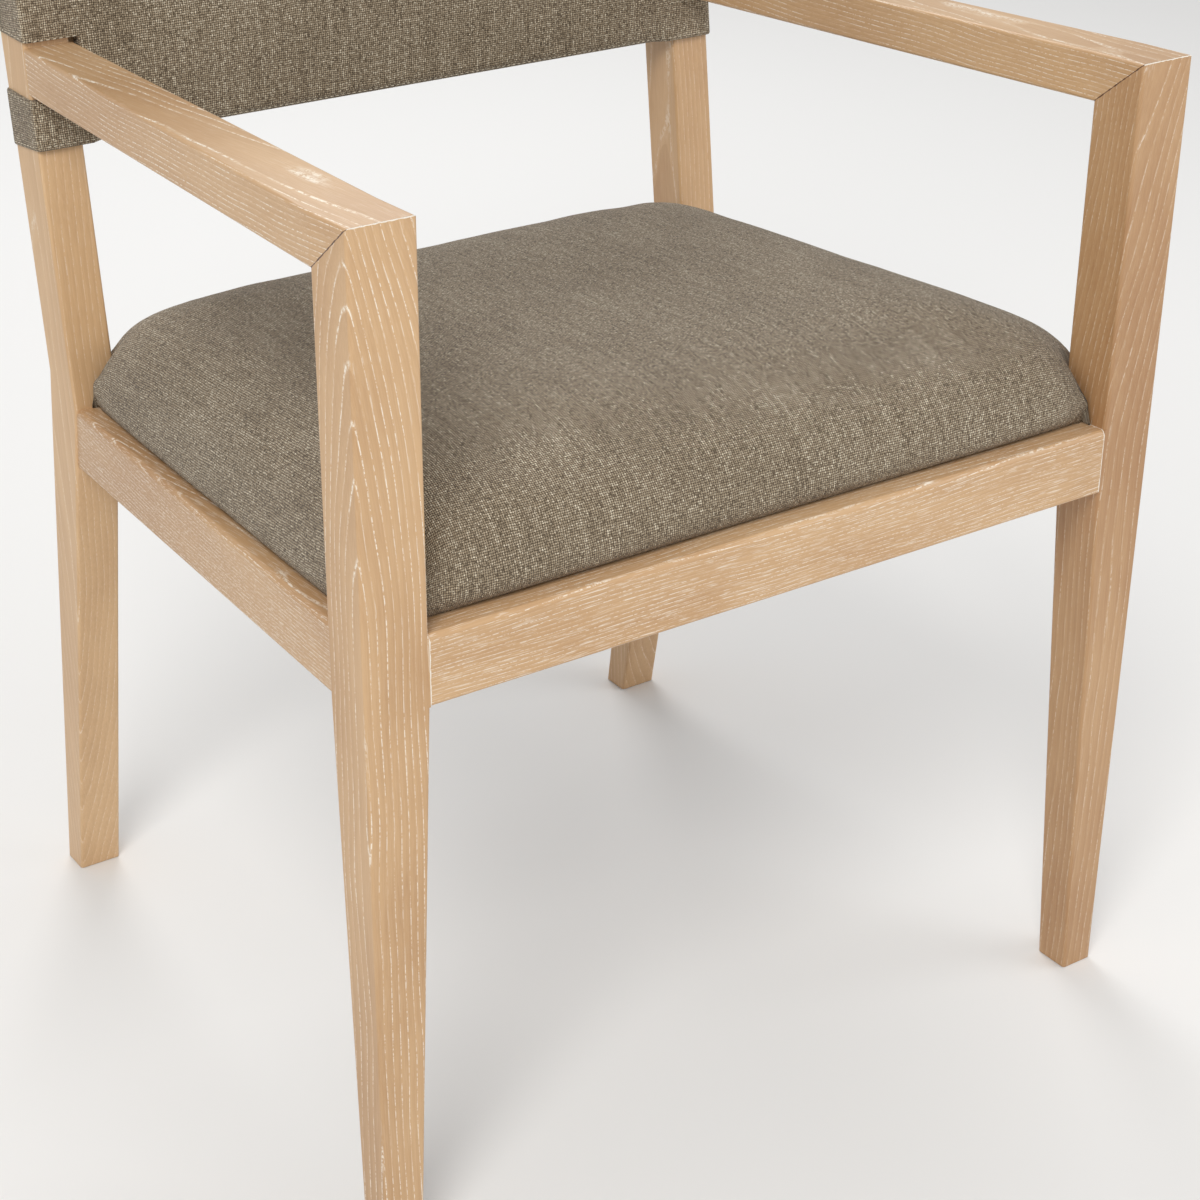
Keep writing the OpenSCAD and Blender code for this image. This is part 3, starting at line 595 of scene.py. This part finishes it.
def makeSeatCushion():
    bm = bmesh.new()
    bmesh.ops.create_grid(bm, x_segments=seatSet["columns"], y_segments=seatSet["rows"], size=1.0)
    sideEdge, frontEdge = SideProfile(seatSet["swellSide"]), SideProfile(seatSet["swellFront"])
    backEdge = SideProfile(seatSet["swellBack"])
    depth = (seatSet["back"] - seatSet["front"]) / 2
    crown, blend, sheet = seatSet["crown"], seatSet["cornerBlend"], {}
    for v in bm.verts:
        a, b = v.co.x, v.co.y
        ends = frontEdge if b < 0 else backEdge
        runY = ends.lengthTo(depth)
        insetY, upY = ends.at((1 - abs(b)) * runY)
        y = seatSet["front"] + insetY if b < 0 else seatSet["back"] - insetY
        half = seatSet["half"] - seatSet["taper"] * (y - seatSet["taperFrom"])
        runX = sideEdge.lengthTo(half)
        insetX, upX = sideEdge.at((1 - abs(a)) * runX)
        drop = ((crown - upX) ** blend + (crown - upY) ** blend) ** (1 / blend)
        sheet[v] = (a * runX, b * runY)
        v.co = (math.copysign(half - insetX, a), y, max(crown - drop, 0))
    cloth = bm.loops.layers.uv.new("cloth")
    for f in bm.faces:
        for loop in f.loops:
            loop[cloth].uv = sheet[loop.vert]
    bmesh.ops.delete(bm, geom=[f for f in bm.faces if inNotch(f.calc_center_median())], context="FACES")
    border = {v for v in bm.verts
              if v.is_boundary and (v.co.z > seatSet["rim"] or inNotch(v.co, -seatSet["nearCut"]))}
    for v in border:   # the cut edges go onto the notches' planes
        x, y = abs(v.co.x), v.co.y
        planeX, planeY = notchPlanes(v.co)
        if abs(x - planeX) < seatSet["snap"]:
            v.co.x = math.copysign(planeX, v.co.x)
        if abs(y - planeY) < seatSet["snap"]:
            v.co.y = planeY
    rim = [e for e in bm.edges if e.is_boundary and all(v in border for v in e.verts)]
    for row in range(seatSet["wallRows"], 0, -1):   # the notches' walls, down to the rails
        made = bmesh.ops.extrude_edge_only(bm, edges=rim)["geom"]
        rim = [e for e in made if isinstance(e, bmesh.types.BMEdge) and e.is_boundary
               and all(v in made for v in e.verts)]
        for v in {v for e in rim for v in e.verts}:
            v.co.z *= (row - 1) / row
    bmesh.ops.remove_doubles(bm, verts=bm.verts[:], dist=seatSet["rim"])
    bmesh.ops.recalc_face_normals(bm, faces=bm.faces[:])
    if sum(f.normal.z for f in bm.faces) < 0:
        bmesh.ops.reverse_faces(bm, faces=bm.faces[:])
    # soften the corners that turn round the legs and posts
    near = [v for v in bm.verts if v.co.z > seatSet["nearRim"] and inNotch(v.co, -seatSet["nearNotch"])]
    soften(bm, near, seatSet["notchPasses"])
    bm.verts.ensure_lookup_table()
    bm.verts.index_update()
    held = [v.index for v in bm.verts if v.co.z < seatSet["heldBelow"]]
    cushion = newPiece("seatCushion", bm, coverCloth)
    puffUp(cushion, held, seatSet["pressure"], seatSet["cap"])
    bm = bmesh.new()
    bm.from_mesh(cushion.data)
    upper = [v for v in bm.verts if v.co.z > seatSet["belly"]]
    soften(bm, upper, seatSet["topPasses"])
    corners = [v for v in upper if v.co.y > seatSet["cornerY"] and abs(v.co.x) > seatSet["cornerX"]]
    soften(bm, corners, seatSet["cornerPasses"])
    for v in bm.verts:   # nothing pushes into a leg or post
        if inNotch(v.co):
            planeX, planeY = notchPlanes(v.co)
            if abs(v.co.x) - planeX < abs(v.co.y - planeY):
                v.co.x = math.copysign(planeX, v.co.x)
            else:
                v.co.y = planeY
        v.co.z = max(v.co.z, 0.0)
    bmesh.ops.subdivide_edges(bm, edges=bm.edges[:], cuts=1, smooth=0.6, use_grid_fill=True)
    for v in bm.verts:   # faint unevenness of the stuffing
        if v.co.z > seatSet["rippleFrom"]:
            soft = min(1.0, v.co.z / seatSet["rippleFull"])
            v.co += v.normal * soft * sum(noise.noise(v.co * often) * high
                                          for often, high in seatSet["ripples"])
    bmesh.ops.holes_fill(bm, edges=[e for e in bm.edges if e.is_boundary], sides=0)
    bmesh.ops.dissolve_degenerate(bm, dist=0.00002, edges=bm.edges[:])
    bmesh.ops.triangulate(bm, faces=[f for f in bm.faces if len(f.verts) > 4])
    bm.transform(Matrix.Translation((0, 0, seatSet["lift"])))
    bm.transform(toSeat)
    bm.to_mesh(cushion.data)
    bm.free()
    cushion.data.shade_smooth()
    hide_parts("seat_cover", "seat_foam", "seat_wadding")
    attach(cushion, "root")
    print("seat cushion:", len(cushion.data.polygons), "faces")


makeSeatCushion()

# back cover, slotted round the arms: lengths are in the back's own frame, the slots' heights from the floor
backSet = {
    "place": (0, 0.172, 0.41301), "lean": -6.9,   # degrees
    "half": 0.2738, "front": -0.0048, "rear": 0.0398, "low": 0.1783, "high": 0.4551,
    "slotIn": 0.2350, "slotLow": 0.6232, "slotHigh": 0.6602, "slack": 0.0001,
    "corner": 0.0048, "hem": 0.0016, "sharp": math.radians(60),
    "grid": 0.009, "columns": 29, "rows": 27, "lowRows": (0.003, 0.0055, 0.008, 0.0105, 0.013, 0.017),
    "between": 0.2330, "lowRound": 0.013, "rollFade": 0.010, "rollShare": 0.8, "rollDepth": 0.012,
    "heldLow": 0.006, "heldHigh": 0.268, "heldFront": 0.0, "heldRear": 0.035,
    "sideShift": 0.8, "endShift": 0.6,   # these keep the sides and ends apart from the face on the cloth
    "pressure": 1.1, "cap": 0.0028,
}
toBack = Matrix.Translation(backSet["place"]) @ Matrix.Rotation(math.radians(backSet["lean"]), 4, "X")


def cut(bm, point, normal, faces=None):
    faces = bm.faces[:] if faces is None else faces
    edges = {e for f in faces for e in f.edges}
    verts = {v for f in faces for v in f.verts}
    bmesh.ops.bisect_plane(bm, geom=[*faces, *edges, *verts], dist=1e-6, plane_co=point, plane_no=normal)


def pastSlot(bm, side):   # the faces outside the slots' inner ends, on one side
    return [f for f in bm.faces if side * f.calc_center_median().x > backSet["slotIn"] - backSet["slack"]]


def cutSlots(bm):
    for side in (-1, 1):
        cut(bm, (side * backSet["slotIn"], 0, 0), (1, 0, 0))
        for level in (backSet["slotLow"], backSet["slotHigh"]):
            cut(bm, (0, 0, level), (0, 0, 1), pastSlot(bm, side))
        slot = [f for f in pastSlot(bm, side)
                if backSet["slotLow"] < f.calc_center_median().z < backSet["slotHigh"]]
        bmesh.ops.delete(bm, geom=slot, context="FACES")
    bm.normal_update()
    for side in (-1, 1):   # the slot's walls, from the front rim to the back one
        rims = [e for e in bm.edges if e.is_boundary and side * e.verts[0].co.x > 0
                and abs(e.link_faces[0].normal.x) < 0.5]
        bmesh.ops.bridge_loops(bm, edges=rims)
    bmesh.ops.recalc_face_normals(bm, faces=bm.faces[:])


def bevelEdges(bm, edges, offset, segments, clamp):
    bmesh.ops.bevel(bm, geom=edges, offset=offset, offset_type="OFFSET", segments=segments, profile=0.5,
                    affect="EDGES", material=-1, clamp_overlap=clamp)


def rollLowEdge(bm, inBack):   # the panel's lower front edge is rolled back between the posts
    radius = backSet["lowRound"]
    for v in bm.verts:
        p = inBack @ v.co
        inward = min(max((backSet["between"] - abs(p.x)) / backSet["rollFade"], 0), 1)
        above = min(p.z - backSet["low"], radius)
        if inward > 0 and p.y < backSet["rollDepth"] and above < radius:
            roll = radius - math.sqrt(radius ** 2 - (radius - above) ** 2)
            p.y = max(p.y, backSet["front"] + roll * backSet["rollShare"] * inward ** 0.5)
            v.co = toBack @ p


def layCoverCloth(bm, inBack):   # the cloth's own map, in metres, face by face
    layer = bm.loops.layers.uv.new("cloth")
    bm.normal_update()
    for f in bm.faces:
        facing = inBack.to_3x3() @ f.normal
        for loop in f.loops:
            p = inBack @ loop.vert.co
            if abs(facing.x) > 0.7:
                loop[layer].uv = (p.y + backSet["sideShift"], p.z)
            elif abs(facing.z) > 0.7:
                loop[layer].uv = (p.x, p.y + backSet["endShift"])
            else:
                loop[layer].uv = (p.x, p.z)


def makeBackCover():
    bm = bmesh.new()
    bmesh.ops.create_cube(bm, size=1.0)
    front, rear, low, high = (backSet[k] for k in ("front", "rear", "low", "high"))
    size = Vector((2 * backSet["half"], rear - front, high - low))
    middle = Vector((0, (rear + front) / 2, (high + low) / 2))
    bm.transform(toBack @ Matrix.Translation(middle) @ Matrix.Diagonal((*size, 1)))
    cutSlots(bm)
    inBack = toBack.inverted()
    upwards = toBack.to_3x3() @ Vector((0, 0, 1))
    tall = [e for e in bm.edges
            if abs((e.verts[1].co - e.verts[0].co).normalized().dot(upwards)) > 0.99
            and abs(e.verts[0].co.x) > backSet["half"] - 0.001]
    bevelEdges(bm, tall, backSet["corner"], 4, False)
    sharp = [e for e in bm.edges if len(e.link_faces) == 2 and e.calc_face_angle() > backSet["sharp"]]
    bevelEdges(bm, sharp, backSet["hem"], 2, True)
    # a fine grid for the cloth, closer along the lower edge
    for k in range(-backSet["columns"], backSet["columns"] + 1):
        cut(bm, (k * backSet["grid"], 0, 0), (1, 0, 0))
    levels = [low + d for d in backSet["lowRows"]]
    levels += [levels[-1] + k * backSet["grid"] for k in range(1, backSet["rows"] + 1)]
    for level in levels:
        cut(bm, toBack @ Vector((0, 0, level)), upwards)
    bmesh.ops.triangulate(bm, faces=[f for f in bm.faces if len(f.verts) > 4])
    rollLowEdge(bm, inBack)
    layCoverCloth(bm, inBack)
    bm.verts.index_update()
    held = []
    for v in bm.verts:   # free only on the front and rear panels, between the posts
        p = inBack @ v.co
        if (abs(p.x) > backSet["between"]
                or not backSet["heldLow"] < p.z - low < backSet["heldHigh"]
                or backSet["heldFront"] < p.y < backSet["heldRear"]):
            held.append(v.index)
    cover = newPiece("backCover", bm, coverCloth)
    puffUp(cover, held, backSet["pressure"], backSet["cap"])
    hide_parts("back_cover", "back_foam")
    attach(cover, "root")
    print("back cover:", len(cover.data.polygons), "faces")
    return cover


# fine light stitches along the cover's hems
stitchSet = {
    "length": 0.0030, "width": 0.00085, "pitch": 0.0044, "inset": 0.0026,
    "endGap": 0.006, "slotGap": 0.001,            # the runs stop short of the sides and the slots' ends
    "ahead": -0.02, "behind": 0.06, "beside": 0.02, "farthest": 0.06,   # where the needle looks from
    "edge": (0.0, 0.035),                         # across the back's thickness
    "foot": 0.413, "lift": 0.001,                 # the back's lower end, to turn heights into lengths
    "pale": srgb(232, 222, 202), "deep": srgb(176, 163, 140),
}


def makeThread():
    material, tree, shader = newMaterial("cover thread", 0.7, Sheen_Weight=0.2)
    twist = ramp(tree, grainNoise(tree, objectPlace(tree), (2400, 2400, 2400), 2.0), 0.35, 0.65)
    put(tree, blendColour(tree, twist, stitchSet["deep"], stitchSet["pale"]), shader.inputs["Base Color"])
    addBump(tree, shader, twist, 0.0001)
    return material


def stitchRuns():   # each run is its start, its end and the direction that its face looks in
    runs = []
    half, inset = backSet["half"], stitchSet["inset"]
    low, slope = backSet["low"] + inset, math.cos(math.radians(backSet["lean"]))
    outward = Vector((1, 0, 0))
    faces = ((Vector((0, -1, 0)), stitchSet["ahead"]), (Vector((0, 1, 0)), stitchSet["behind"]))

    def run(starts, ends, height, facing, level=None):
        one, two = toBack @ Vector((*starts, height)), toBack @ Vector((*ends, height))
        if level is not None:   # beside a slot the run is level
            one.z = two.z = level
        runs.append((one, two, facing))

    for facing, depth in faces:
        run((-half + stitchSet["endGap"], depth), (half - stitchSet["endGap"], depth), low, facing)
    for side in (-1, 1):
        reach = side * (half + stitchSet["beside"])
        begins, stops = ((reach, y) for y in stitchSet["edge"])
        run(begins, stops, low, side * outward)
        for level in (backSet["slotLow"] - inset, backSet["slotHigh"] + inset):
            height = (level - stitchSet["foot"]) / slope + stitchSet["lift"]
            for facing, depth in faces:
                run((side * (backSet["slotIn"] + stitchSet["slotGap"]), depth),
                    (side * (half - stitchSet["endGap"]), depth), height, facing, level)
            run(begins, stops, height, side * outward, level)
    return runs


def makeStitching(cover):
    surface = BVHTree.FromObject(cover, bpy.context.evaluated_depsgraph_get())
    spin = toBack.to_3x3()
    thick = stitchSet["width"] / 2
    shape = Matrix.Diagonal((stitchSet["length"] / 2, thick, thick, 1))
    bm = bmesh.new()
    for one, two, facing in stitchRuns():
        look = -(spin @ facing if facing.y else facing)
        count = max(1, int((two - one).length / stitchSet["pitch"]))
        for k in range(count):
            start = one + (two - one) * ((k + 0.5) / count)
            hit, normal = surface.ray_cast(start, look, stitchSet["farthest"])[:2]
            if hit is None:
                continue
            run = (two - one).normalized()
            run = (run - normal * run.dot(normal)).normalized()
            turn = Matrix((run, normal.cross(run), normal)).transposed().to_4x4()
            bmesh.ops.create_uvsphere(bm, u_segments=6, v_segments=4, radius=1.0,
                                      matrix=Matrix.Translation(hit) @ turn @ shape)
    stitches = newPiece("coverStitching", bm, makeThread())
    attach(stitches, "root")
    print("stitching:", len(stitches.data.polygons), "faces")


backCover = makeBackCover()
makeStitching(backCover)


# the dust cloth under the seat, stapled along its edges
dustSet = {
    "half": 0.2621, "front": 0.029, "back": 0.454, "drop": 0.0035,
    "corners": ((0.197, 0.029), (0.2621, 0.098), (0.2454, 0.387), (0.180, 0.454)),
    "across": 48, "along": 40, "area": 0.2070, "below": 0.0004, "ripple": 0.0006, "rippleOften": 22,
    "pale": srgb(58, 57, 56), "deep": srgb(20, 20, 21), "bonds": 600.0,
}


def makeDustMaterial():
    material, tree, shader = newMaterial("dust cloth", 0.95, Specular_IOR_Level=0.2)
    place = objectPlace(tree)
    fibres = grainNoise(tree, place, (900, 900, 900), 4.0, 0.7)
    bonds = node(tree, "ShaderNodeTexVoronoi", feature="DISTANCE_TO_EDGE")
    put(tree, along(tree, "SCALE", place, scale=dustSet["bonds"]), bonds.inputs["Vector"])
    bonds.inputs["Scale"].default_value = 1.0
    pressed = ramp(tree, bonds.outputs["Distance"], 0.02, 0.20)
    shade = total(tree, product(tree, pressed, 0.5), product(tree, fibres, 0.6), clamp=True)
    put(tree, blendColour(tree, shade, dustSet["deep"], dustSet["pale"]), shader.inputs["Base Color"])
    addBump(tree, shader, shade, 0.0002)
    return material


def makeDustCloth():
    bm = bmesh.new()
    bmesh.ops.create_grid(bm, x_segments=dustSet["across"], y_segments=dustSet["along"], size=1.0)
    middle, deep = (dustSet["front"] + dustSet["back"]) / 2, (dustSet["back"] - dustSet["front"]) / 2
    bm.transform(Matrix.Translation((0, middle, 0)) @ Matrix.Diagonal((dustSet["half"], deep, 1, 1)))
    for side in (-1, 1):
        for (x1, y1), (x2, y2) in zip(dustSet["corners"], dustSet["corners"][1:]):
            bmesh.ops.bisect_plane(bm, geom=[*bm.verts, *bm.edges, *bm.faces], dist=1e-6, clear_outer=True,
                                   plane_co=(side * x1, y1, 0), plane_no=(side * (y2 - y1), x1 - x2, 0))
    for v in bm.verts:   # it hangs slack by a few millimetres between its staples
        x, y = v.co.x / dustSet["half"], (v.co.y - middle) / deep
        ripple = noise.noise(v.co * dustSet["rippleOften"]) * dustSet["ripple"]
        v.co.z = -dustSet["below"] - dustSet["drop"] * max(0, 1 - x * x) * max(0, 1 - y * y) + ripple
    bm.transform(toSeat)
    bmesh.ops.reverse_faces(bm, faces=[f for f in bm.faces if f.normal.z > 0])
    cloth = newPiece("dustCloth", bm, makeDustMaterial())
    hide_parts("dust_cloth")
    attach(cloth, "root")
    print("dust cloth:", len(cloth.data.polygons), "faces")


makeDustCloth()


# inner wood, plywood, screws and staples
beechSet = {
    "offset": (0.045, 0.030, 0), "ring": 0.0042, "wander": 0.012,
    "pale": srgb(226, 198, 160), "deep": srgb(188, 150, 108), "fleck": srgb(170, 124, 84),
}
plySet = {
    "offset": (0.08, 0.02, 0), "ring": 0.007, "wander": 0.05, "toneAndShade": 0.1,
    "pale": srgb(222, 194, 152), "deep": srgb(186, 146, 100), "crossLayer": srgb(150, 108, 70),
}


def layGrain(tree, place, direction, toneAndShade, wood):
    mapping = node(tree, "ShaderNodeMapping")
    mapping.inputs["Rotation"].default_value = [math.radians(v) for v in direction]
    mapping.inputs["Location"].default_value = wood["offset"]
    put(tree, place, mapping.inputs["Vector"])
    laid = mapping.outputs[0]
    return laid, useGroup(tree, ashGroup, Vector=laid, Ring_Width=wood["ring"], Wander=wood["wander"],
                          Lime_Amount=0.0, Tone=toneAndShade, Pale=wood["pale"], Deep=wood["deep"])


def finishInner(tree, shader, colour, grain):   # unfinished wood, duller than the show wood
    put(tree, colour, shader.inputs["Base Color"])
    put(tree, total(tree, grain["Roughness"], 0.2), shader.inputs["Roughness"])
    addBump(tree, shader, grain["Height"], 0.0001)


def makeInnerWood(name, direction, toneAndShade):
    material, tree, shader = newMaterial("beech " + name.replace("_", " "))
    laid, grain = layGrain(tree, objectPlace(tree), direction, toneAndShade, beechSet)
    fleck = ramp(tree, grainNoise(tree, laid, (700, 700, 160), 1.0), 0.62, 0.70)
    colour = blendColour(tree, product(tree, fleck, 0.5), grain["Color"], beechSet["fleck"])
    finishInner(tree, shader, colour, grain)
    return material


def makePlywood(name, through, layer):
    # through is the direction across the layers
    material, tree, shader = newMaterial(name, 0.6)
    place = objectPlace(tree)
    grain = layGrain(tree, place, crosswise, plySet["toneAndShade"], plySet)[1]
    depth = along(tree, "DOT_PRODUCT", place, through)
    ply = calc(tree, "FRACT", total(tree, calc(tree, "DIVIDE", depth, 2 * layer), 0.25))
    turned = ramp(tree, calc(tree, "ABSOLUTE", less(tree, ply, 0.5)), 0.22, 0.28)
    colour = blendColour(tree, product(tree, turned, 0.45), grain["Color"], plySet["crossLayer"])
    finishInner(tree, shader, colour, grain)
    return material


def makeSteel(name, light, dark, roughness):
    material, tree, shader = newMaterial(name, roughness, Metallic=1.0)
    spangle = ramp(tree, grainNoise(tree, objectPlace(tree), (500, 500, 500), 3.0, 0.6), 0.35, 0.7)
    put(tree, blendColour(tree, spangle, light, dark), shader.inputs["Base Color"])
    put(tree, total(tree, roughness, product(tree, spangle, 0.2)), shader.inputs["Roughness"])
    addBump(tree, shader, spangle, 0.00005)
    return material


plainBeech = {
    # node: (grain direction, tone)
    "corner_block_front_left": (crosswise, 0.05), "corner_block_front_right": (crosswise, 0.12),
    "corner_block_rear_left": (crosswise, 0.0), "corner_block_rear_right": (crosswise, 0.18),
    "back_top_rail": (crosswise, 0.1), "back_bottom_rail": (crosswise, 0.2),
    "front_rail_dowels": (crosswise, 0.2), "rear_rail_dowels": (crosswise, 0.2),
    "back_rail_dowels": (crosswise, 0.15), "side_rail_dowels": (lengthwise, 0.2),
    "arm_dowels": (lengthwise, 0.2), "mitre_dowels": (upright, 0.2),
}
for name, values in plainBeech.items():
    dress(name, makeInnerWood(name, *values))
seatUp = toSeat.to_3x3() @ Vector((0, 0, 1))
backOut = toBack.to_3x3() @ Vector((0, 1, 0))
dress("seat_board", makePlywood("seat plywood", seatUp, 0.0024))   # metres to a layer
dress("back_front_panel", makePlywood("back plywood", backOut, 0.0020))
dress("back_rear_panel", makePlywood("thin plywood", backOut, 0.0010))
zinc = makeSteel("zinc plate", srgb(205, 205, 200), srgb(150, 150, 148), 0.30)
galvanised = makeSteel("galvanised wire", srgb(190, 190, 188), srgb(120, 121, 122), 0.42)
for name in ("corner_block_screws", "seat_screws", "back_panel_screws"):
    dress(name, zinc)
for name in ("seat_cover_staples", "dust_cloth_staples"):
    dress(name, galvanised)
print("inner pieces done")
